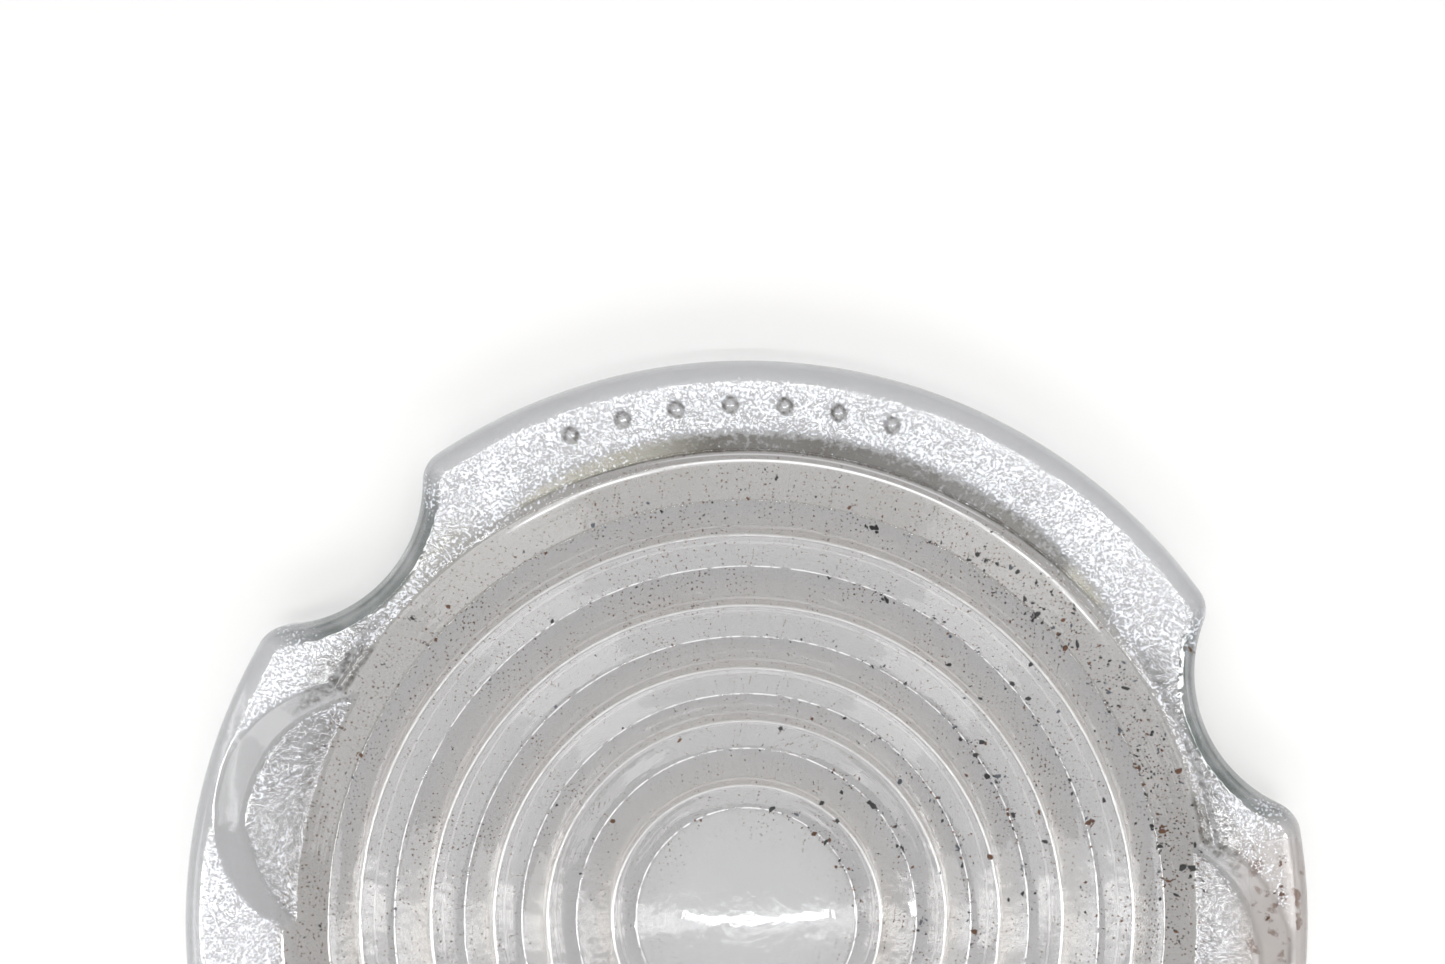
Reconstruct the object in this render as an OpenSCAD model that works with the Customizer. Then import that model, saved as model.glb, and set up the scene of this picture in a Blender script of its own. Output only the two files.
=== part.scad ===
// Stepped glass lens with a four-notched, stippled rim.
// One piece of pressed clear glass: a bull's-eye in the middle, concentric ribs round it,
// and a raised rim with four rounded notches and two dished clip seats.
// Frame: +Z is the ribbed face, the flat back is z = 0, and the marked rim segment is at +Y.

/* [Rim] */
// Outside diameter of the rim
outer_d = 200; // [190:1:210]
// Height of the rim above the back face, where its outer rounding starts
rim_h = 12; // [11:0.25:14]
// Radius at which the rim's inner wall reaches its stippled face
rim_inner_r = 87.75; // [87:0.25:89]
// Slope of the stippled face, down towards the middle, in degrees
rim_slope = 8; // [5:0.5:9]
// Rounding of the rim's outer top edge
rim_round = 3.6; // [2:0.2:4]
// Rounding of the rim's outer bottom edge
back_round = 1.2; // [0.6:0.1:1.6]

/* [Ribs] */
// Thickness of the glass under each groove
web_t = 6; // [5:0.25:7]
// Radius of the bull's-eye in the middle
eye_r = 19.8; // [19:0.1:20.5]
// Rise of the bull's-eye above its own edge
eye_rise = 2.8; // [2:0.1:3.6]
// Height of the innermost rib above its grooves
first_rib_h = 1.5; // [1:0.1:1.8]
// How much higher each rib is than the one inside it
rib_growth = 0.45; // [0.3:0.05:0.5]
// Rounding of each rib's crest
crest_round = 1.1; // [0.6:0.1:1.3]

/* [Notches] */
// Radius of each rounded notch
notch_r = 26.2; // [25:0.1:27]
// Distance from the lens axis to a notch's centre
notch_centre = 115.2; // [114.5:0.1:116]
// Angle of a notch from the middle of the marked rim segment
notch_angle = 57; // [55:0.1:60]
// Rounding of the corners where a notch meets the rim
notch_corner = 6; // [4:0.5:7]

/* [Clip seats] */
// Radius of each seat's floor
seat_r = 22.6; // [21:0.1:24]
// Distance from the lens axis to the centre of a seat
seat_centre = 68.7; // [67:0.1:69]
// How far round a seat is moved from the X axis, towards the marked rim segment, in degrees
seat_lift = 4.75; // [0:0.25:6]
// Height of a seat's floor above the back face
seat_h = 8.6; // [8:0.1:9]
// Steepness of the wall round a seat, in degrees
seat_slope = 30; // [28:1:40]

/* [Mould marks] */
// Number of raised pips on the marked rim segment
mark_count = 7; // [3:1:9]
// Diameter of a pip
mark_d = 2.6; // [2:0.1:3]
// Angle between neighbouring pips
mark_step = 6; // [4:0.5:7]
// Angle of the middle pip, measured from +X
mark_middle = 102; // [90:1:104]
// Radius of the circle that the pips stand on
mark_ring_r = 92; // [91:0.25:93]
// Height of a pip above the rim's top face
mark_h = 0.5; // [0.3:0.05:0.7]

/* [Hidden] */

outer_r = outer_d / 2;
glass = [0.86, 0.88, 0.88, 0.55];
round_fn = 180;
seat_sides = 72;
// Inside this radius the outermost slope of the ribs is already below the seats' floor
seat_inner_r = 79;
arc_steps = 6;
over = 1;

// Groove and crest radii, from the bull's-eye outwards
groove_r = [eye_r, 30.5, 40.3, 50.6, 63.2, 75];
crest_r = [24, 35.6, 45.1, 56.3, 68.9];
// The low ridge that closes the ribbed field, and the narrow gutter outside it
ridge_r = 82.4;
ridge_h = 9.6;
gutter_r = 84;
gutter_h = 8.6;

// Height of crest i above the back face
function crest_z(i) = web_t + first_rib_h + i * rib_growth;

// Height of the bull's-eye at radius r: a shallow parabola, close to a spherical cap
function eye_z(r) = web_t + eye_rise * (1 - pow(r / eye_r, 2));

// Height of the rim's sloping stippled face at radius r
function rim_z(r) = rim_h - (outer_r - rim_round - r) * tan(rim_slope);

function unit(v) = v / norm(v);

// Points that replace corner b of the path a-b-c with an arc of radius r
function rounded(a, b, c, r) =
    let (u = unit(a - b), v = unit(c - b))
    let (half = acos(u * v) / 2)
    let (reach = min(r / tan(half), norm(a - b) / 2.2, norm(c - b) / 2.2))
    let (real_r = reach * tan(half))
    let (centre = b + unit(u + v) * real_r / sin(half))
    let (from = b + u * reach - centre, to = b + v * reach - centre)
    let (turn = 180 - 2 * half, way = sign(from.x * to.y - from.y * to.x))
    [for (k = [0 : arc_steps])
        let (t = way * turn * k / arc_steps)
        centre + [from.x * cos(t) - from.y * sin(t), from.x * sin(t) + from.y * cos(t)]];

// The section from the bull's-eye's edge out to the rim and back, as [corner, rounding] pairs
section_corners = concat(
    [for (i = [0 : len(crest_r) - 1])
        each [[[groove_r[i], web_t], 0.5], [[crest_r[i], crest_z(i)], crest_round]]],
    [[[groove_r[5], web_t], 0.5],
     [[ridge_r, ridge_h], 0.7],
     [[gutter_r, gutter_h], 0.5],
     [[rim_inner_r, rim_z(rim_inner_r)], 1.5],
     [[outer_r, rim_z(outer_r)], rim_round],
     [[outer_r, 0], back_round],
     [[0, 0], 0]]);

eye_steps = 8;
eye_points = [for (k = [0 : eye_steps - 1]) let (r = eye_r * k / eye_steps) [r, eye_z(r)]];

profile = concat(
    eye_points,
    [for (i = [0 : len(section_corners) - 2])
        let (a = i == 0 ? eye_points[eye_steps - 1] : section_corners[i - 1][0])
        each rounded(a, section_corners[i][0], section_corners[i + 1][0], section_corners[i][1])],
    [[0, 0]]);

notch_angles = [90 - notch_angle, 90 + notch_angle, 270 - notch_angle, 270 + notch_angle];

// Where the rounding of a notch's corner is centred: notch_corner inside the rim,
// and notch_corner outside the notch's circle
corner_r = outer_r - notch_corner;
corner_angle = acos((pow(corner_r, 2) + pow(notch_centre, 2) - pow(notch_r + notch_corner, 2))
    / (2 * corner_r * notch_centre));

function polar(r, angle) = [r * cos(angle), r * sin(angle)];

// One notch, seen from above and lying at angle 0: its round hollow and the rounded corners beside it
module notch_outline() {
    difference() {
        polygon([
            [notch_centre, 0],
            polar(corner_r, -corner_angle),
            polar(outer_r + over, -corner_angle),
            [outer_r + notch_r, 0],
            polar(outer_r + over, corner_angle),
            polar(corner_r, corner_angle)]);
        for (side = [-1, 1])
            rotate(side * corner_angle)
                translate([corner_r, 0])
                    circle(r = notch_corner, $fn = round_fn);
    }
    translate([notch_centre, 0])
        circle(r = notch_r, $fn = round_fn);
}

module notches() {
    for (angle = notch_angles)
        rotate(angle)
            translate([0, 0, -over])
                linear_extrude(rim_h + 3 * over)
                    notch_outline();
}

// Clip seats: shallow dishes with flat floors, left and right of the marked segment.
// Each one cuts the rim's inner half and the low ridge, and leaves the ribs whole.
module clip_seats() {
    top_r = seat_r + rim_h / tan(seat_slope);
    for (angle = [seat_lift, 180 - seat_lift])
        rotate(angle)
            translate([0, 0, seat_h])
                difference() {
                    translate([seat_centre, 0, 0])
                        linear_extrude(rim_h, scale = top_r / seat_r)
                            circle(r = seat_r, $fn = seat_sides);
                    translate([0, 0, -over])
                        cylinder(r = seat_inner_r, h = rim_h + 2 * over, $fn = round_fn);
                }
}

// Raised pips along the marked segment
module mould_marks() {
    first = mark_middle - mark_step * (mark_count - 1) / 2;
    for (i = [0 : mark_count - 1])
        rotate(first + i * mark_step)
            translate([mark_ring_r, 0, rim_z(mark_ring_r) - over])
                cylinder(d = mark_d, h = over + mark_h, $fn = 32);
}

module lens() {
    color(glass) {
        difference() {
            rotate_extrude($fn = 360)
                polygon(profile);
            notches();
            clip_seats();
        }
        mould_marks();
    }
}

lens();
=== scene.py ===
"""Looks of the stepped glass lens: a clear pressing with a stippled, notched rim, and dirt in its grooves."""
import math

import bpy
import numpy as np
from mathutils import Matrix, Vector, noise


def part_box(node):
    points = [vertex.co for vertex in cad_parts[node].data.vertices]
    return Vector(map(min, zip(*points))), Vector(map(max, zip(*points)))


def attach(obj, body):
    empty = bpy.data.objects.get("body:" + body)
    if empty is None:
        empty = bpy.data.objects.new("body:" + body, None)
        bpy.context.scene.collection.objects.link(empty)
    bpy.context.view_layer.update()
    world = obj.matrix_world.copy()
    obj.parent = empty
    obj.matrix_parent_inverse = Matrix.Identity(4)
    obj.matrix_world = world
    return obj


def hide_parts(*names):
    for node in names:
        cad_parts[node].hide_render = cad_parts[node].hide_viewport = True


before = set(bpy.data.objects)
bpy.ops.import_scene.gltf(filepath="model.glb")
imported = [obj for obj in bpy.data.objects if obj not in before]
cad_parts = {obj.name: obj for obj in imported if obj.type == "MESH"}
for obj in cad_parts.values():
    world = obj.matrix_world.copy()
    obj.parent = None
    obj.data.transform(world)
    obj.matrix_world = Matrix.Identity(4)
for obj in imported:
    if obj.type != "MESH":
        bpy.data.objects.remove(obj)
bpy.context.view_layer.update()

LOW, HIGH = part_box("lens")
MM = 0.001

# ---------------------------------------------------------------- sizes of the glass, in millimetres
OUTER_R = (HIGH.y - LOW.y) / 2 / MM - 0.01    # a hair inside the CAD lens
RIM_H = 11.86
RIM_ROUND = 3.6             # outer rounding of the rim
NOTCH_ROUND = 3.2           # the same rounding inside a notch
BACK_ROUND = 1.2
RIM_SLOPE = math.tan(math.radians(8))
WALL_SLOPE = math.tan(math.radians(30))    # of the rim's inner wall and of the walls round the seats
WEB_T = 6.0
EYE_R, EYE_RISE = 19.8, 2.8
GROOVE_R = [EYE_R, 30.5, 40.3, 50.6, 63.2, 75.0]
CREST_R = [24.0, 35.6, 45.1, 56.3, 68.9]
FIRST_RIB_H, RIB_GROWTH = 1.5, 0.45
RIDGE_R, RIDGE_H = 82.4, 9.6
GUTTER_R, GUTTER_H = 84.0, 8.6
GUTTER_FADE = math.radians(20), math.radians(50)    # off the marks' middle: it starts to fade, has gone
NECK_RISE = 1.15            # how much higher the gutter's floor is where the gutter has gone
GROOVE_ROUND, CREST_ROUND, RIDGE_ROUND = 0.35, 1.1, 0.5

NOTCH_R, NOTCH_CENTRE, NOTCH_CORNER = 26.2, 115.2, 6.0
NOTCH_ANGLES = [math.radians(a) for a in (33, 147, 213, 327)]
SEAT_R, SEAT_CENTRE, SEAT_H = 22.6, 68.7, 8.65
SEAT_INNER_R = 79.0         # the seats leave the ribs inside this radius whole
SEAT_ANGLES = [math.radians(a) for a in (4.75, 175.25)]
SEAT_STIPPLE = 0.75         # share of the rim's stipple that a seat's floor has

MARK_COUNT, MARK_MIDDLE, MARK_STEP = 7, 102, 6      # pips on the rim, with their angles in degrees
MARK_ANGLES = [math.radians(MARK_MIDDLE + MARK_STEP * (i - MARK_COUNT // 2)) for i in range(MARK_COUNT)]
MARK_RING_R, MARK_R, MARK_H = 92.0, 1.3, 0.45

FINE, COARSE, INNER = 1320, 660, 330    # points round the rim, the ridge and the ribs
INNER_UP_TO = 72.0                      # radius where the ribs change from INNER to COARSE points
LONG_STEP, SHORT_STEP = 2.2, 0.45       # longest steps of the section over the ribs and over the ridge
FLANGE_ROWS, EDGE_ROWS, BACK_ROWS = 24, 7, 2
EDGE_SHADES = (1.0, 0.7, 0.95, 0.5, 0.8, 1.0, 0.75)    # painted shade: how dark each row of a notch's rounded edge is


# ---------------------------------------------------------------- small helpers
def smoothstep(low, high, x):
    t = np.clip((x - low) / (high - low), 0, 1)
    return t * t * (3 - 2 * t)


def soft_min(a, b, k):
    """The lower of a and b, rounded over about k where they cross."""
    h = np.clip(0.5 + 0.5 * (b - a) / k, 0, 1)
    return b * (1 - h) + a * h - k * h * (1 - h)


def soft_max(a, b, k):
    return -soft_min(-a, -b, k)


def linked(name, data):
    """A new object in the scene, holding the data."""
    made = bpy.data.objects.new(name, data)
    bpy.context.scene.collection.objects.link(made)
    return made


def waves(x, y, pitch, layer):
    """Smooth noise between about -1 and 1 at each point (x, y), with bumps about pitch across."""
    return np.array([noise.noise(Vector((u / pitch, v / pitch, layer))) for u, v in zip(x, y)])


def turned(angle):
    """The angle, wrapped to lie between -180 and 180 degrees."""
    return (angle + math.pi) % (2 * math.pi) - math.pi


def away_from(x, y, r, angle):
    """Distance of each point (x, y) from the place at radius r and the given angle."""
    return np.hypot(x - r * math.cos(angle), y - r * math.sin(angle))


def from_marks(angle):
    """How far the angle is from the middle of the marked rim segment or of the one opposite."""
    return np.minimum(np.abs(turned(angle - math.pi / 2)), np.abs(turned(angle + math.pi / 2)))


# ---------------------------------------------------------------- the section of the ribs
def corner_arc(a, b, c, r, steps):
    """Points that round corner b of the path a-b-c with radius r."""
    a, b, c = (np.array(p, float) for p in (a, b, c))
    to_a, to_c = a - b, c - b
    long_a, long_c = np.linalg.norm(to_a), np.linalg.norm(to_c)
    to_a, to_c = to_a / long_a, to_c / long_c
    half = math.acos(np.clip(to_a @ to_c, -1, 1)) / 2
    reach = min(r / math.tan(half), long_a / 2.2, long_c / 2.2)
    bisector = (to_a + to_c) / np.linalg.norm(to_a + to_c)
    centre = b + bisector * reach / math.cos(half)
    start, end = b + to_a * reach - centre, b + to_c * reach - centre
    turn = (math.pi - 2 * half) * np.sign(start[0] * end[1] - start[1] * end[0])
    arc = []
    for k in range(steps + 1):
        cos, sin = math.cos(turn * k / steps), math.sin(turn * k / steps)
        arc.append((centre[0] + start[0] * cos - start[1] * sin, centre[1] + start[0] * sin + start[1] * cos))
    return arc


def rib_section():
    """(radius, height) points from beside the lens axis to the gutter inside the rim."""
    corners = []
    for i, crest in enumerate(CREST_R):
        corners.append(((GROOVE_R[i], WEB_T), GROOVE_ROUND, 2))
        corners.append(((crest, WEB_T + FIRST_RIB_H + i * RIB_GROWTH), CREST_ROUND, 5))
    corners.append(((GROOVE_R[-1], WEB_T), GROOVE_ROUND, 2))
    corners.append(((RIDGE_R, RIDGE_H), RIDGE_ROUND, 5))
    corners.append(((GUTTER_R, GUTTER_H), GROOVE_ROUND, 2))
    eye_steps = 14
    eye = [EYE_R * k / eye_steps for k in range(1, eye_steps)]
    points = [(r, WEB_T + EYE_RISE * (1 - (r / EYE_R) ** 2)) for r in eye]
    before = points[-1]
    for (corner, radius, steps), (after, _, _) in zip(corners[:-1], corners[1:]):
        points += corner_arc(before, corner, after, radius, steps)
        before = corner
    points.append((GUTTER_R - 0.1, GUTTER_H + 0.06))    # just inside the rim's first row
    section = points[:1]
    for end in points[1:]:
        start = section[-1]
        longest = LONG_STEP if end[0] < SEAT_INNER_R else SHORT_STEP
        pieces = max(1, math.ceil(math.dist(start, end) / longest))
        for k in range(1, pieces + 1):
            t = k / pieces
            section.append((start[0] * (1 - t) + end[0] * t, start[1] * (1 - t) + end[1] * t))
    return section


# ---------------------------------------------------------------- the outline of the rim
def outline_r(angle, inset):
    """Radius of the rim's outline at each angle, moved inwards by inset (an array or a number)."""
    angle = np.asarray(angle, float)
    inset = np.broadcast_to(np.asarray(inset, float), angle.shape)
    corner_at = OUTER_R - NOTCH_CORNER
    reach = NOTCH_R + NOTCH_CORNER
    cosine = (corner_at ** 2 + NOTCH_CENTRE ** 2 - reach ** 2) / (2 * corner_at * NOTCH_CENTRE)
    corner_angle = math.acos(cosine)
    corner_x = corner_at * math.cos(corner_angle) - NOTCH_CENTRE
    corner_y = corner_at * math.sin(corner_angle)
    out = OUTER_R - inset
    for middle in NOTCH_ANGLES:
        off = np.abs(turned(angle - middle))
        wall = NOTCH_R + inset
        meet = np.arctan2(corner_y * wall / reach, NOTCH_CENTRE + corner_x * wall / reach)
        side = np.clip(wall ** 2 - (NOTCH_CENTRE * np.sin(off)) ** 2, 0, None)
        notch = NOTCH_CENTRE * np.cos(off) - np.sqrt(side)
        lean = off - corner_angle
        side = np.clip((NOTCH_CORNER - inset) ** 2 - (corner_at * np.sin(lean)) ** 2, 0, None)
        corner = corner_at * np.cos(lean) + np.sqrt(side)
        out = np.where(off < meet, notch, np.where(off < corner_angle, corner, out))
    return out


def notch_share(angle, inner, outer):
    """1 beside a notch's middle and 0 away from it, falling between the angles inner and outer (degrees)."""
    off = np.min([np.abs(turned(angle - middle)) for middle in NOTCH_ANGLES], axis=0)
    return 1 - smoothstep(math.radians(inner), math.radians(outer), off)


def gutter_share(angle):
    """1 where the gutter inside the rim is full depth, 0 where the rim's face meets the ridge directly."""
    return 1 - smoothstep(*GUTTER_FADE, from_marks(angle))


def seat_cut(height, x, y):
    """The height cut down by the seats' dishes, and the shares of cut, of floor and of the upper end painted
    in shade.
    """
    cut, floor, shaded_end = np.zeros_like(x), np.zeros_like(x), np.zeros_like(x)
    for middle in SEAT_ANGLES:
        this_side = x * math.cos(middle) > 0
        inside = SEAT_R - away_from(x, y, SEAT_CENTRE, middle)
        dish = soft_max(SEAT_H - inside * WALL_SLOPE, SEAT_H, 0.5)
        here = smoothstep(-0.15, 0.15, height - dish) * this_side * (np.hypot(x, y) > SEAT_INNER_R)
        height = np.where(here > 0, soft_min(height, dish, 0.3), height)
        cut = np.maximum(cut, here)
        floor = np.maximum(floor, here * smoothstep(-0.3, 0.5, inside))
        # the upper end of each dish is painted in shade
        low = 0.6 * (1 - smoothstep(87, 91, np.hypot(x, y)))
        ends = smoothstep(-10, -7.5, inside) * (1 - smoothstep(-1.5, 0, inside))
        shaded_end = np.maximum(shaded_end, ends * low * this_side * (y > SEAT_CENTRE * math.sin(middle)))
    return height, cut, floor, shaded_end


def seat_shade(cut, floor):
    """Share of painted olive shade in a seat, on its wall and on its floor."""
    return cut * (0.25 + 0.15 * floor)


# ---------------------------------------------------------------- the front of the rim
def rim_front(r, angle):
    """The rim's front at each point without its outer rounding: height, stipple and painted olive shade."""
    x, y = r * np.cos(angle), r * np.sin(angle)
    gutter = gutter_share(angle)
    face = RIM_H - (OUTER_R - RIM_ROUND - r) * RIM_SLOPE
    foot = GUTTER_H + (1 - gutter) * NECK_RISE
    wall = foot + (r - GUTTER_R) * WALL_SLOPE
    height = soft_min(face, wall, 0.5)
    # painted shade: the rim's inner wall is dark olive
    olive = (1 - smoothstep(-0.75, 0.35, wall - face)) * smoothstep(0.05, 0.5, gutter)
    stipple = 1 - 0.5 * olive
    height, cut, floor, shaded_end = seat_cut(height, x, y)
    stipple = stipple * (1 - cut) * (1 - shaded_end) + SEAT_STIPPLE * floor
    # painted shade in the necks beside the notches
    neck = 0.5 * notch_share(angle, 8, 17) * (1 - smoothstep(86, 91, r))
    olive = np.maximum(np.maximum(olive, neck) * (1 - cut), np.maximum(shaded_end, seat_shade(cut, floor)))
    for middle in MARK_ANGLES:
        away = away_from(x, y, MARK_RING_R, middle) / MARK_R
        height = height + MARK_H * (1 - smoothstep(0.65, 1.1, away))
        # painted shade round each pip's flank, as an outline
        olive = np.maximum(olive, 0.8 * smoothstep(0.5, 0.75, away) * (1 - smoothstep(1.0, 1.3, away)))
        stipple = stipple * smoothstep(0.8, 1.4, away)
    inwards = (outline_r(angle, 0) - r) / edge_rounding(angle)
    stipple = stipple * smoothstep(0.85, 1.35, inwards)
    return height, np.clip(stipple, 0, 1), olive


def edge_rounding(angle):
    """Rounding of the rim's outer top edge, which is tighter in the notches."""
    near = notch_share(angle, 9, 15)
    return RIM_ROUND * (1 - near) + NOTCH_ROUND * near


def stipple_height(x, y):
    """The hammered texture of the rim, in millimetres, zero on average."""
    dimples = np.array([noise.voronoi(Vector((u / 1.25, v / 1.25, 0.0)))[0][0] for u, v in zip(x, y)])
    grain = waves(x, y, 0.8, 3.0)
    return 0.05 * (dimples - 0.45) + 0.03 * grain


# ---------------------------------------------------------------- one closed mesh
SHARES = ("beige", "glint", "stipple", "olive", "cream", "edge", "rust")    # stored at every point


class Rings:
    """Rows of points round the axis, joined into one closed mesh from the front's middle to the back's."""

    def __init__(self):
        self.points, self.faces, self.rows = [], [], []
        self.values = {name: [] for name in SHARES}

    def tip(self, z):
        self.points.append((0.0, 0.0, z))
        for values in self.values.values():
            values.append(0.0)
        self.rows.append((len(self.points) - 1, 1))

    def row(self, r, angle, z, **values):
        n = len(angle)
        start = len(self.points)
        r = np.broadcast_to(r, n)
        z = np.broadcast_to(z, n)
        self.points += list(zip(r * np.cos(angle), r * np.sin(angle), z))
        for label in self.values:
            self.values[label] += list(np.broadcast_to(values.get(label, 0.0), n))
        self.rows.append((start, n))

    def join(self):
        """Faces between each row and the next, which has as many points, twice or half as many, or one."""
        for (a, many_a), (b, many_b) in zip(self.rows[:-1], self.rows[1:]):
            for i in range(max(many_a, many_b)):
                if many_a == many_b:
                    j = (i + 1) % many_a
                    self.faces.append((a + i, b + i, b + j, a + j))
                elif many_a == 1:
                    self.faces.append((a, b + i, b + (i + 1) % many_b))
                elif many_b == 1:
                    self.faces.append((a + i, b, a + (i + 1) % many_a))
                elif many_b == 2 * many_a and i < many_a:
                    k, j = 2 * i, (i + 1) % many_a
                    self.faces.append((a + i, b + k, b + k + 1))
                    self.faces.append((a + i, b + k + 1, a + j))
                    self.faces.append((a + j, b + k + 1, b + (k + 2) % many_b))
                elif many_a == 2 * many_b and i < many_b:
                    k, j = 2 * i, (i + 1) % many_b
                    self.faces.append((b + i, a + k + 1, a + k))
                    self.faces.append((b + i, b + j, a + k + 1))
                    self.faces.append((b + j, a + (k + 2) % many_a, a + k + 1))

    def mesh(self, name):
        self.join()
        data = bpy.data.meshes.new(name)
        data.from_pydata((np.array(self.points) * MM).tolist(), [], self.faces)
        for label, values in self.values.items():
            attribute = data.attributes.new(label, "FLOAT", "POINT")
            attribute.data.foreach_set("value", np.array(values, np.float32))
        data.polygons.foreach_set("use_smooth", [True] * len(data.polygons))
        data.update()
        return data


def circle(n):
    return np.linspace(0, 2 * math.pi, n, endpoint=False)


def shade_at(r):
    """How strong the beige film is at radius r, partly dirt and partly painted shade: most just outside each
    crest, fading to the next groove.
    """
    if r < EYE_R:
        return 0.15 * max(0.0, (r - 9) / (EYE_R - 9))
    for crest, groove in zip(CREST_R, GROOVE_R[1:]):
        if crest <= r <= groove:
            return max(0.2, 1 - (r - crest) / (groove - crest))
    return 0.95 if r > GROOVE_R[-1] else 0.12


def cream_at(r, angle):
    """Where the rim's wall gets painted pale light in cream instead of painted olive shade: its left half,
    and a short patch at its right end.
    """
    degrees = np.degrees(np.abs(turned(angle)))
    left = smoothstep(103, 117, degrees) * smoothstep(152, 146, degrees)
    patch = smoothstep(59, 56.5, degrees) * smoothstep(50.5, 53, degrees)
    return (left + patch) * smoothstep(83.5, 84.2, r) * smoothstep(91, 90, r)


def rust_at(r, angle):
    """The rusty film over the rim's right-hand lug."""
    return smoothstep(83, 93, r) * (1 - smoothstep(math.radians(17), math.radians(23), np.abs(turned(angle))))


def glint_at(r, angle):
    """Painted reflection: the crisp double bright line beside the gutter. The inner one bends inwards to the
    sides, and both fade.
    """
    off = from_marks(angle)
    inner = 1.15 * np.exp(-((r - 82.2 + 1.1 * (off / math.radians(44)) ** 2) / 0.25) ** 2)
    outer = 0.75 * math.exp(-((r - 83.25) / 0.24) ** 2) * smoothstep(math.radians(30), math.radians(14), off)
    return inner * smoothstep(math.radians(45), math.radians(37), off) + outer


def add_ribs(rings):
    """The eye, the ribs and the ridge, as far as the gutter."""
    rings.tip(WEB_T + EYE_RISE)
    for r, z in rib_section():
        angle = circle(INNER if r < INNER_UP_TO else COARSE)
        x, y = r * np.cos(angle), r * np.sin(angle)
        gutter = gutter_share(angle)
        ripple = 0.02 * waves(x, y, 6.5, 1.0) + 0.006 * waves(x, y, 2.4, 2.0)
        filled = (1 - gutter) * NECK_RISE * smoothstep(RIDGE_R - 0.3, GUTTER_R, r)
        z, cut, floor, shaded_end = seat_cut(z + ripple + filled, x, y)
        outside = smoothstep(RIDGE_R, RIDGE_R + 1, r)
        stipple = np.maximum(SEAT_STIPPLE * floor, (1 - gutter) * outside * (1 - cut))
        grain = stipple * stipple_height(x, y) if stipple.any() else 0.0
        # painted shade on the gutter's floor and at the seats' upper ends
        olive = np.maximum(shaded_end * (r > 82), gutter * smoothstep(GUTTER_R - 0.5, GUTTER_R, r))
        olive = np.maximum(olive, seat_shade(cut, floor))
        rings.row(r, angle, z + grain, beige=shade_at(r) * (1 - cut), glint=glint_at(r, angle) * (1 - cut),
                  stipple=stipple, olive=olive, rust=rust_at(r, angle))


def add_rim(rings):
    """The rim's front from the gutter to the lip, then its rounded edge down to the back."""
    angle = circle(FINE)
    rounding = edge_rounding(angle)
    notch = notch_share(angle, 10, 13)
    lip = outline_r(angle, rounding)
    for k in range(FLANGE_ROWS + 1):
        r = GUTTER_R + (lip - GUTTER_R) * k / FLANGE_ROWS
        z, stipple, olive = rim_front(r, angle)
        x, y = r * np.cos(angle), r * np.sin(angle)
        if k:
            z = z + stipple * (stipple_height(x, y) - 0.03) + 0.015 * waves(x, y, 6.5, 1.0)
        # painted shade on the notches' rounded edges
        near_edge = notch * smoothstep(0.8, 0.2, lip - r)
        rings.row(r, angle, z, stipple=stipple * (1 - near_edge), olive=olive, cream=cream_at(r, angle),
                  edge=near_edge, rust=rust_at(r, angle))
    for k in range(1, EDGE_ROWS + 1):
        lean = math.pi / 2 * k / EDGE_ROWS
        r = outline_r(angle, rounding * (1 - math.sin(lean)))
        z, stipple, _ = rim_front(np.minimum(r, lip + rounding * 0.3), angle)
        x, y = r * np.cos(angle), r * np.sin(angle)
        z = z - rounding * (1 - math.cos(lean)) + 0.015 * waves(x, y, 6.5, 1.0) * (1 - k / EDGE_ROWS)
        rings.row(r, angle, z, stipple=stipple, edge=notch * EDGE_SHADES[k - 1], rust=rust_at(r, angle))
    rings.row(outline_r(angle, 0), angle, (z + BACK_ROUND) / 2, edge=notch)
    for k in range(BACK_ROWS + 1):
        lean = math.pi / 2 * k / BACK_ROWS
        r = outline_r(angle, BACK_ROUND * (1 - math.cos(lean)))
        rings.row(r, angle, BACK_ROUND * (1 - math.sin(lean)), edge=notch * (1 - k / BACK_ROWS))


def build_lens():
    """The whole pressing as one closed mesh."""
    rings = Rings()
    add_ribs(rings)
    add_rim(rings)
    for r, n in ((86.0, COARSE), (INNER_UP_TO, INNER), (45.0, INNER), (20.0, INNER)):
        rings.row(r, circle(n), 0.0)
    rings.tip(0.0)
    return linked("lens_glass", rings.mesh("lens_glass"))


# ---------------------------------------------------------------- crumbs of paint, soot and rust
SECTION = np.array([(0.0, WEB_T + EYE_RISE)] + rib_section())


def ground(r, angle):
    """Height of the glass at one point."""
    if r > GUTTER_R:
        return float(rim_front(np.array([r]), np.array([angle]))[0][0])
    return float(np.interp(r, SECTION[:, 0], SECTION[:, 1]))


def flake(draw, r, angle, length, width):
    """One thin crumb lying on the glass: a ragged closed plate. Returns points in millimetres, and faces."""
    sides = draw.integers(5, 9)
    turn = draw.uniform(0, math.pi)
    thick = min(0.25, 0.05 + 0.12 * width)
    rim = []
    for k in range(sides):
        a = 2 * math.pi * k / sides
        reach = draw.uniform(0.4, 1.0)
        u, v = 0.5 * length * reach * math.cos(a), 0.5 * width * reach * math.sin(a)
        rim.append((u * math.cos(turn) - v * math.sin(turn), u * math.sin(turn) + v * math.cos(turn)))
    middle = (r * math.cos(angle), r * math.sin(angle))
    points = []
    for lift, grow in ((-0.04, 1.0), (thick, 0.8)):
        for u, v in rim:
            x, y = middle[0] + u * grow, middle[1] + v * grow
            points.append((x, y, ground(math.hypot(x, y), math.atan2(y, x)) + lift))
    faces = [tuple(reversed(range(sides))), tuple(range(sides, 2 * sides))]
    faces += [(k, (k + 1) % sides, sides + (k + 1) % sides, sides + k) for k in range(sides)]
    return points, faces


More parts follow.
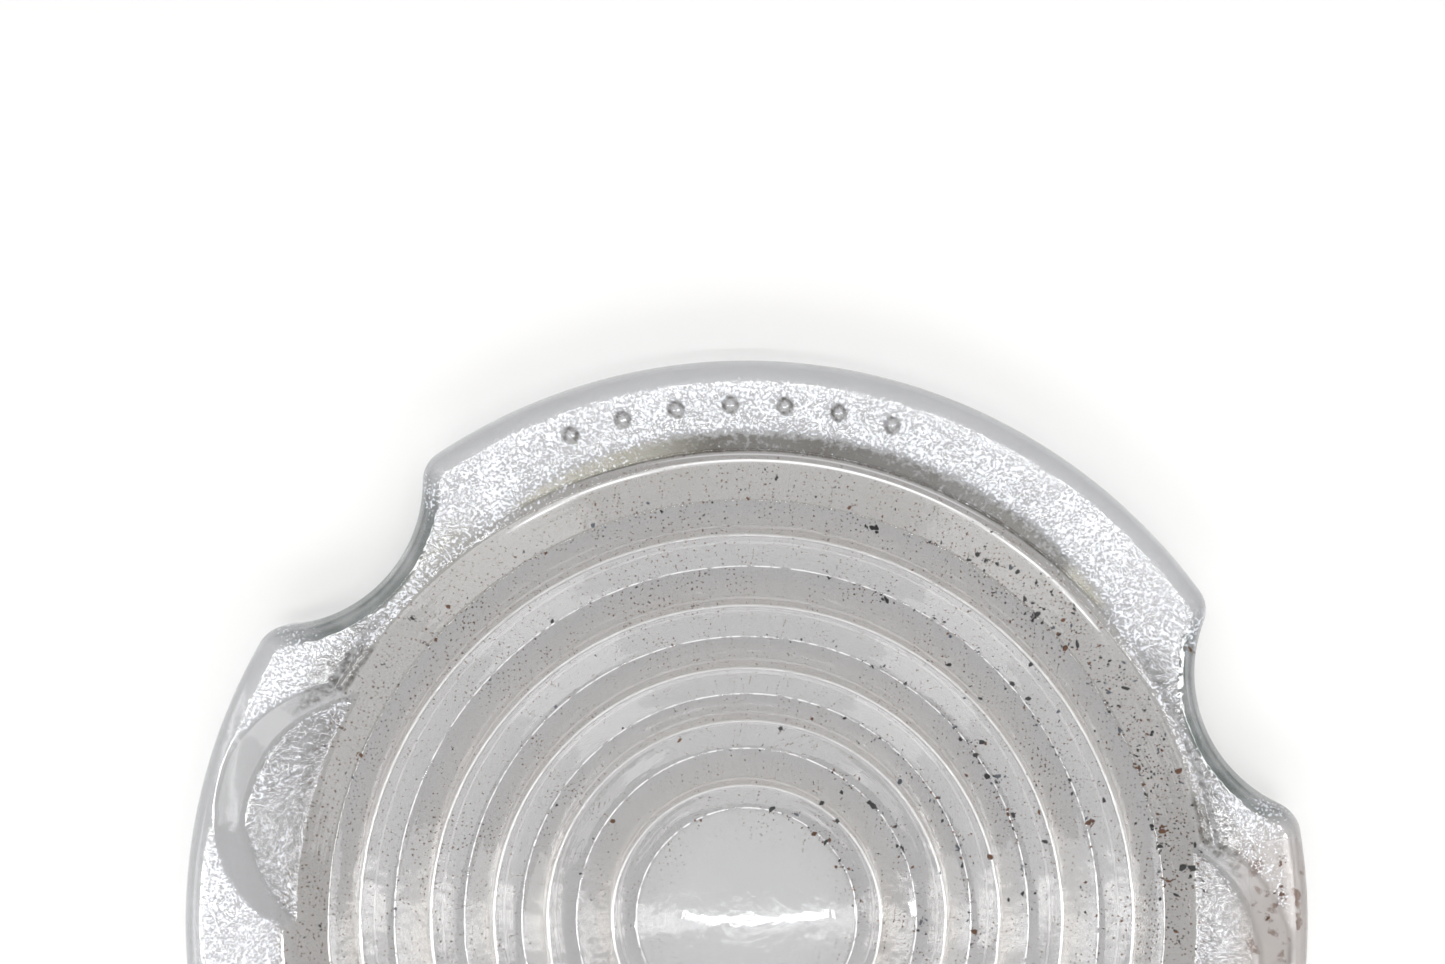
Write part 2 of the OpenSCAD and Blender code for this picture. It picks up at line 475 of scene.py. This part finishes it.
def scattered(draw, count, typical, wide):
    """Random crumbs' places and sizes: most in grooves and the outermost band, thickest at upper right."""
    crumbs = []
    while len(crumbs) < count:
        pick = draw.random()
        if pick < 0.4:
            r = draw.choice(GROOVE_R, p=[0.12, 0.14, 0.16, 0.18, 0.2, 0.2]) + draw.normal(0, 0.45)
        elif pick < 0.7:
            r = draw.uniform(74.5, 82)
        else:
            r = 82 * math.sqrt(draw.uniform(0.05, 1))
        angle = draw.uniform(-math.pi, math.pi)
        if draw.random() < 0.55:
            angle = math.radians(draw.normal(42, 19))
        size = min(wide, typical * math.exp(draw.normal(0, 0.6)))
        crumbs.append((r, angle, size, size * draw.uniform(0.45, 0.95)))
    return crumbs


def cluster(draw, r, angle, length, width):
    """A large crumb, broken into pieces that overlap or lie close together."""
    crumbs = [(r, angle, 0.75 * length, 0.75 * width)]
    for _ in range(draw.integers(7, 12)):
        size = length * draw.uniform(0.12, 0.4)
        along, across = draw.normal(0, 0.33 * length), draw.normal(0, 0.4 * width)
        crumbs.append((r + across, angle + along / r, size, size * draw.uniform(0.5, 0.9)))
    return crumbs


def crumbs_piece(name, seed, crumbs, material):
    """One object made of many crumbs."""
    draw = np.random.default_rng(seed)
    points, faces = [], []
    for crumb in crumbs:
        more, sides = flake(draw, *crumb)
        faces += [tuple(i + len(points) for i in face) for face in sides]
        points += more
    data = bpy.data.meshes.new(name)
    data.from_pydata((np.array(points) * MM).tolist(), [], faces)
    data.materials.append(material)
    piece = linked(name, data)
    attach(piece, "root")


def build_crumbs():
    """Soot and old paint, slate-coloured grit and rust, with the few large ones listed one by one."""
    draw = np.random.default_rng(11)

    def at(r, degrees, length, width):
        return cluster(draw, r, math.radians(degrees), length, width)

    # each crumb's radius, its angle in degrees, its length and its width
    black = [at(73.7, 82, 3.4, 1.3), at(62.4, 76.5, 2.6, 1.3), at(75.5, 56.5, 2.9, 2.2),
             at(76.4, 58, 1.6, 1.1), at(74.1, 56.4, 1.5, 1.0), at(77.2, 66.5, 1.7, 0.9),
             at(80.5, 148, 1.6, 1.0), at(75.4, 20, 1.6, 1.3)]
    slate = [at(51.7, 39.7, 2.2, 1.9), at(50.1, 20.3, 1.6, 1.1), at(40.0, 28.6, 2.0, 1.0),
             at(31.4, 9, 1.9, 1.0)]
    rust = [at(63.7, 25.8, 2.6, 2.0), at(76.3, 22, 2.4, 1.7), at(75.4, 31.1, 2.0, 1.2),
            at(75.1, 167.3, 2.2, 1.4), at(76.0, 15.3, 2.2, 1.2), at(92.3, 41.9, 1.6, 1.0),
            at(94.6, 13.5, 2.6, 1.3), at(95.0, 16.8, 1.7, 0.9), at(92.6, 10.8, 1.6, 1.0)]
    crumbs_piece("crumbs_black", 1, sum(black, []) + scattered(draw, 1000, 0.42, 2.0),
                 crumb_material("soot", (0.028, 0.028, 0.03), 0.6))
    crumbs_piece("crumbs_slate", 2, sum(slate, []) + scattered(draw, 600, 0.34, 1.4),
                 crumb_material("grit", (0.10, 0.115, 0.14), 0.7))
    crumbs_piece("crumbs_rust", 3, sum(rust, []) + scattered(draw, 800, 0.36, 1.8),
                 crumb_material("rust", (0.15, 0.075, 0.045), 0.8))


# ---------------------------------------------------------------- materials
CLEAN_EYE, CLEAN_RIBS, CLEAN_RIM = (0.61, 0.611, 0.616, 1), (0.52, 0.519, 0.525, 1), (0.575, 0.578, 0.588, 1)
# a beige film, partly dirt and partly painted shade on the outward slopes of the ribs
DUST_AND_SHADE_ON_RIBS, DUST_AND_SHADE_OUTSIDE = (0.53, 0.504, 0.47, 1), (0.435, 0.418, 0.394, 1)
# painted shade in olive and green-black, and painted pale light in cream, for the rim's walls and notches
OLIVE, CREAM, NOTCH_SHADE = (0.025, 0.018, 0.008, 1), (0.36, 0.335, 0.235, 1), (0.075, 0.095, 0.088, 1)
RUST_FILM, RUST_STAIN = (0.40, 0.345, 0.31, 1), (0.12, 0.06, 0.035, 1)
SPECK_BLUE, SPECK_BROWN = (0.05, 0.055, 0.07, 1), (0.20, 0.11, 0.06, 1)
# whites of the painted sparkle on the stipple and of the painted highlight lines
PAINTED_SPARKLE, GLINT = (0.89, 0.925, 1.0, 1), (0.97, 0.97, 0.98, 1)


class Nodes:
    """Short calls for a material's node tree."""

    def __init__(self, name):
        self.material = bpy.data.materials.new(name)
        self.material.use_nodes = True
        self.tree = self.material.node_tree
        self.shader = self.tree.nodes["Principled BSDF"]
        self.output = self.tree.nodes["Material Output"]

    def add(self, kind, inputs=None, **settings):
        node = self.tree.nodes.new(kind)
        for key, value in settings.items():
            setattr(node, key, value)
        for key, value in (inputs or {}).items():
            self.feed(node.inputs[key], value)
        return node

    def feed(self, socket, value):
        if isinstance(value, bpy.types.NodeSocket):
            self.tree.links.new(value, socket)
        else:
            socket.default_value = value

    def math(self, operation, a, b=0.0, clamp=False):
        return self.add("ShaderNodeMath", {0: a, 1: b}, operation=operation, use_clamp=clamp).outputs[0]

    def plus(self, a, b, clamp=False):
        return self.math("ADD", a, b, clamp)

    def minus(self, a, b, clamp=False):
        return self.math("SUBTRACT", a, b, clamp)

    def times(self, a, b, clamp=False):
        return self.math("MULTIPLY", a, b, clamp)

    def most(self, a, b):
        return self.math("MAXIMUM", a, b)

    def spread(self, value, low, high, out_low=0.0, out_high=1.0):
        node = self.add("ShaderNodeMapRange", {0: value, 1: low, 2: high, 3: out_low, 4: out_high})
        return node.outputs[0]

    def noise(self, where, scale, detail=2.0, roughness=0.5):
        inputs = {"Vector": where, "Scale": scale, "Detail": detail, "Roughness": roughness}
        return self.add("ShaderNodeTexNoise", inputs).outputs["Fac"]

    def patches(self, where, scale, low, high, out_low=0.0, out_high=1.0, detail=2.0, roughness=0.5):
        """Noise whose values from low to high are spread from out_low to out_high."""
        return self.spread(self.noise(where, scale, detail, roughness), low, high, out_low, out_high)

    def circles(self, radius, radii, width):
        """1 on each circle of the given radii, falling to 0 at width on both sides."""
        lines = 0.0
        for r in radii:
            away = self.math("ABSOLUTE", self.minus(radius, r))
            lines = self.most(lines, self.spread(away, 0.0, width, 1.0, 0.0))
        return lines

    def bump(self, height, depth, strength, normal=None):
        """The normal with a relief of the given height, whose depth is in millimetres, laid over it."""
        inputs = {"Height": height, "Distance": depth * MM, "Strength": strength}
        if normal is not None:
            inputs["Normal"] = normal
        return self.add("ShaderNodeBump", inputs).outputs[0]

    def mix(self, factor, a, b):
        node = self.add("ShaderNodeMix", data_type="RGBA")
        self.feed(node.inputs[0], factor)
        self.feed(node.inputs[6], a)
        self.feed(node.inputs[7], b)
        return node.outputs[2]


class Surface:
    """What the glass's material is worked out from at each point. The radius is in millimetres."""

    def __init__(self, n):
        self.where = n.add("ShaderNodeTexCoord").outputs["Object"]
        for name in SHARES:
            setattr(self, name, n.add("ShaderNodeAttribute", attribute_name=name).outputs["Fac"])
        split = n.add("ShaderNodeSeparateXYZ", {0: self.where}).outputs
        self.flat = n.add("ShaderNodeCombineXYZ", {0: split[0], 1: split[1], 2: 0.0}).outputs[0]
        length = n.add("ShaderNodeVectorMath", {0: self.flat}, operation="LENGTH").outputs["Value"]
        self.radius = n.math("DIVIDE", length, MM)
        self.cloud = n.noise(self.where, 70.0, 3.0)
        # a ragged edge for the painted olive shade
        ragged = n.patches(self.where, 900.0, 0.35, 0.65, -0.28, 0.28, detail=3.0, roughness=0.6)
        ragged = n.times(ragged, n.spread(self.olive, 0.3, 0.5))
        self.ragged_olive = n.spread(n.plus(self.olive, ragged), 0.05, 0.9)


def dusty_shaded_colour(n, glass):
    """Clean glass, colder on the rim, under a beige film that is partly dirt and partly painted shade,
    strongest on the outward slopes.
    """
    clean = n.mix(n.spread(glass.radius, GUTTER_R - 0.5, GUTTER_R + 0.5), CLEAN_RIBS, CLEAN_RIM)
    clean = n.mix(n.spread(glass.radius, EYE_R - 0.8, EYE_R - 0.3), CLEAN_EYE, clean)
    dust_and_shade = n.mix(n.spread(glass.radius, GROOVE_R[-1] - 0.5, GROOVE_R[-1] + 0.5), DUST_AND_SHADE_ON_RIBS, DUST_AND_SHADE_OUTSIDE)
    return n.mix(n.times(glass.beige, n.spread(glass.cloud, 0.35, 0.65, 0.8, 1.1)), clean, dust_and_shade)


def shaded_lit_and_rusty_colour(n, glass, colour):
    """Painted shade in olive and painted pale light in cream on the rim's inner wall, painted shade in
    green-black in the notches, rust on one lug.
    """
    deep = n.mix(glass.cream, OLIVE, CREAM)
    colour = n.mix(n.times(glass.ragged_olive, n.spread(glass.cloud, 0.3, 0.7, 0.88, 1.0)), colour, deep)
    edge = n.times(glass.edge, n.patches(glass.where, 160.0, 0.3, 0.65, 0.6, 1.0))
    colour = n.mix(edge, colour, NOTCH_SHADE)
    colour = n.mix(n.times(glass.rust, 0.7), colour, RUST_FILM)
    stain = n.patches(glass.where, 330.0, 0.57, 0.64, detail=3.0)
    return n.mix(n.times(stain, n.times(glass.rust, 0.9)), colour, RUST_STAIN)


def speck_share(n, glass):
    """Fine specks over the ribs: a dot in some of many small cells, sized by the cell's chance."""
    cells = n.add("ShaderNodeTexVoronoi", {"Vector": glass.flat, "Scale": 1150.0}, voronoi_dimensions="2D")
    chance = n.add("ShaderNodeSeparateXYZ", {0: cells.outputs["Color"]}).outputs[0]
    share = n.patches(glass.where, 45.0, 0.3, 0.7, 0.28, 0.56)
    share = n.plus(share, n.spread(glass.radius, 30.0, 80.0, 0.0, 0.14))
    reach = n.times(n.minus(n.plus(chance, share), 1.0, clamp=True), 0.4)
    reach = n.plus(reach, n.patches(glass.where, 3500.0, 0.3, 0.7, -0.06, 0.06, detail=1.0))
    dots = n.spread(n.minus(reach, cells.outputs["Distance"]), 0.0, 0.05)
    off_eye = n.spread(glass.radius, 11.0, 18.0)
    off_rim = n.spread(glass.radius, GUTTER_R - 0.5, GUTTER_R - 1.5)
    return n.times(dots, n.times(off_eye, off_rim), clamp=True)


def painted_sparkle_share(n, glass):
    """Painted sparkle: white points standing in for the glittering reflections on the stipple. With less
    stipple, its white points get fewer, not dimmer.
    """
    thin = n.times(n.minus(1.0, glass.stipple), 0.13)
    thin = n.plus(thin, n.times(glass.ragged_olive, n.spread(glass.cream, 0.0, 1.0, 0.13, 0.02)))
    thin = n.plus(thin, n.times(glass.rust, 0.07))
    thin = n.plus(thin, n.patches(glass.where, 130.0, 0.3, 0.7, -0.045, 0.045))
    points = n.minus(n.noise(glass.where, 1800.0, 3.0, 0.6), n.plus(thin, 0.475))
    return n.times(n.spread(points, 0.0, 0.09, 0.0, 0.77), n.spread(glass.stipple, 0.02, 0.3))


def line_share(n, glass):
    """Painted highlights: the bright lines, whole on the crests, broken in the grooves, and the double one
    beside the gutter.
    """
    broken = n.patches(glass.where, 500.0, 0.4, 0.55, 0.15, 0.85)
    grooves = n.times(n.circles(glass.radius, GROOVE_R[:-1], 0.26), broken)
    crests = n.times(n.circles(glass.radius, CREST_R, 0.5), 0.42)
    crisp = n.times(n.minus(glass.glint, 0.9, clamp=True), 3.0)
    return n.plus(n.most(grooves, n.most(crests, glass.glint)), crisp, clamp=True)


def relief(n, glass):
    """The stipple, the faint rings that the mould's turning left, and the uneven skin of pressed glass."""
    turn = n.add("ShaderNodeVectorMath", {0: glass.flat}, operation="NORMALIZE").outputs[0]
    turn = n.add("ShaderNodeVectorMath", {0: turn, "Scale": 2.5}, operation="SCALE").outputs[0]
    around = n.add("ShaderNodeSeparateXYZ", {0: turn}).outputs
    outwards = n.times(glass.radius, 0.9)
    rounds = n.add("ShaderNodeCombineXYZ", {0: around[0], 1: around[1], 2: outwards}).outputs[0]
    normal = n.bump(n.noise(glass.where, 1300.0), 0.12, glass.stipple)
    normal = n.bump(n.noise(rounds, 1.0), 0.03, 0.6, normal)
    return n.bump(n.noise(glass.where, 270.0), 0.04, 1.0, normal)


def glass_material():
    """Clear pressed glass under a thin dusty film, with painted shade, painted highlights and painted
    sparkle, and fine dark specks in the ribbed field.
    """
    n = Nodes("pressed_glass")
    glass = Surface(n)
    specks, sparkle, line = speck_share(n, glass), painted_sparkle_share(n, glass), line_share(n, glass)
    colour = shaded_lit_and_rusty_colour(n, glass, dusty_shaded_colour(n, glass))
    colour = n.mix(specks, colour, n.mix(n.noise(glass.where, 300.0), SPECK_BLUE, SPECK_BROWN))
    # painted sparkle and painted highlight lines laid over the colour
    colour = n.mix(line, n.mix(sparkle, colour, PAINTED_SPARKLE), GLINT)
    rough = n.plus(n.patches(glass.where, 90.0, 0.3, 0.7, 0.03, 0.08), n.times(glass.rust, 0.12))
    dense = n.most(n.most(specks, sparkle), n.most(n.times(line, 0.8), n.times(glass.rust, 0.35)))
    n.feed(n.shader.inputs["Base Color"], colour)
    n.feed(n.shader.inputs["Roughness"], rough)
    n.feed(n.shader.inputs["Transmission Weight"], n.spread(dense, 0.0, 1.0, 0.82, 0.1))
    n.feed(n.shader.inputs["Normal"], relief(n, glass))
    n.shader.inputs["IOR"].default_value = 1.5

    # light passes straight through the glass to the paper, so that its shadow is faint
    is_shadow = n.add("ShaderNodeLightPath").outputs["Is Shadow Ray"]
    clear = n.add("ShaderNodeBsdfTransparent")
    clear.inputs[0].default_value = (0.8, 0.8, 0.8, 1)
    both = n.add("ShaderNodeMixShader", {0: is_shadow, 1: n.shader.outputs[0], 2: clear.outputs[0]})
    n.feed(n.output.inputs["Surface"], both.outputs[0])
    return n.material


def crumb_material(name, colour, roughness):
    n = Nodes(name)
    where = n.add("ShaderNodeTexCoord").outputs["Object"]
    darker = tuple(0.5 * c for c in colour)
    n.feed(n.shader.inputs["Base Color"], n.mix(n.noise(where, 900.0), (*colour, 1), (*darker, 1)))
    n.shader.inputs["Roughness"].default_value = roughness
    return n.material


def floor_material():
    n = Nodes("floor_paper")
    n.shader.inputs["Base Color"].default_value = (0.95, 0.95, 0.95, 1)
    n.shader.inputs["Roughness"].default_value = 0.9
    n.shader.inputs["Specular IOR Level"].default_value = 0.1
    return n.material


# ---------------------------------------------------------------- camera, light and floor
PART_TURN = math.radians(10.2)    # the part lies turned clockwise by this much in the view
ACROSS = Vector((math.cos(PART_TURN), math.sin(PART_TURN), 0))
UPWARD = Vector((-math.sin(PART_TURN), math.cos(PART_TURN), 0))
CAMERA_ACROSS, CAMERA_UPWARD, CAMERA_HEIGHT = -0.0043, 0.0783, 0.365
SOFT_BOXES = (("low_left", -1.05, -0.75), ("low_front", 0.0, -1.3), ("low_right", 1.05, -0.75))
FLOOR_HALF, FLOOR_DROP = 3.0, 0.0002    # half the floor's width, and how far it is below the glass


def place_camera():
    """A camera square-on above the marked side of the rim, so that only the upper half is in view."""
    data = bpy.data.cameras.new("camera")
    data.sensor_width = 36
    data.lens = 49.8
    data.clip_start = 0.01
    camera = linked("camera", data)
    spot = ACROSS * CAMERA_ACROSS + UPWARD * CAMERA_UPWARD + Vector((0, 0, CAMERA_HEIGHT))
    camera.matrix_world = Matrix((
        (ACROSS.x, UPWARD.x, 0, spot.x), (ACROSS.y, UPWARD.y, 0, spot.y), (0, 0, 1, spot.z), (0, 0, 0, 1)))
    bpy.context.scene.camera = camera


def area_light(name, across, upward, height, size, radiance):
    """A rectangular soft light aimed at the lens. radiance is how bright its surface is."""
    data = bpy.data.lights.new(name, "AREA")
    data.shape = "RECTANGLE"
    data.size, data.size_y = size
    data.energy = radiance * math.pi * size[0] * size[1]
    light = linked(name, data)
    light.location = ACROSS * across + UPWARD * upward + Vector((0, 0, height))
    forward = -Vector(light.location).normalized()
    right = forward.cross(Vector((0, 0, 1))).normalized()
    if abs(forward.z) > 0.9:
        right = (ACROSS - forward * ACROSS.dot(forward)).normalized()
    top = right.cross(forward)
    rotation = Matrix((right, top, -forward)).transposed()
    light.rotation_euler = rotation.to_euler()


def light_scene():
    area_light("overhead_strip", 0.07, -0.205, 1.0, (0.88, 0.042), 28.0)
    for name, across, upward in SOFT_BOXES:
        area_light(name, across, upward, 1.0, (1.75, 0.6), 2.0)
    world = bpy.data.worlds.new("studio")
    bpy.context.scene.world = world
    world.use_nodes = True
    background = world.node_tree.nodes["Background"]
    background.inputs["Color"].default_value = (1.0, 0.99, 0.97, 1)
    background.inputs["Strength"].default_value = 0.51


def lay_floor():
    data = bpy.data.meshes.new("floor")
    corners = [(x * FLOOR_HALF, y * FLOOR_HALF, 0) for x, y in ((-1, -1), (1, -1), (1, 1), (-1, 1))]
    data.from_pydata(corners, [], [(0, 1, 2, 3)])
    floor = linked("floor", data)
    floor.location.z = -FLOOR_DROP
    data.materials.append(floor_material())


# ---------------------------------------------------------------- the scene
place_camera()
light_scene()
lay_floor()
bpy.context.scene.view_settings.view_transform = "Standard"

lens = build_lens()
lens.data.materials.append(glass_material())
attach(lens, "root")
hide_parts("lens")
build_crumbs()
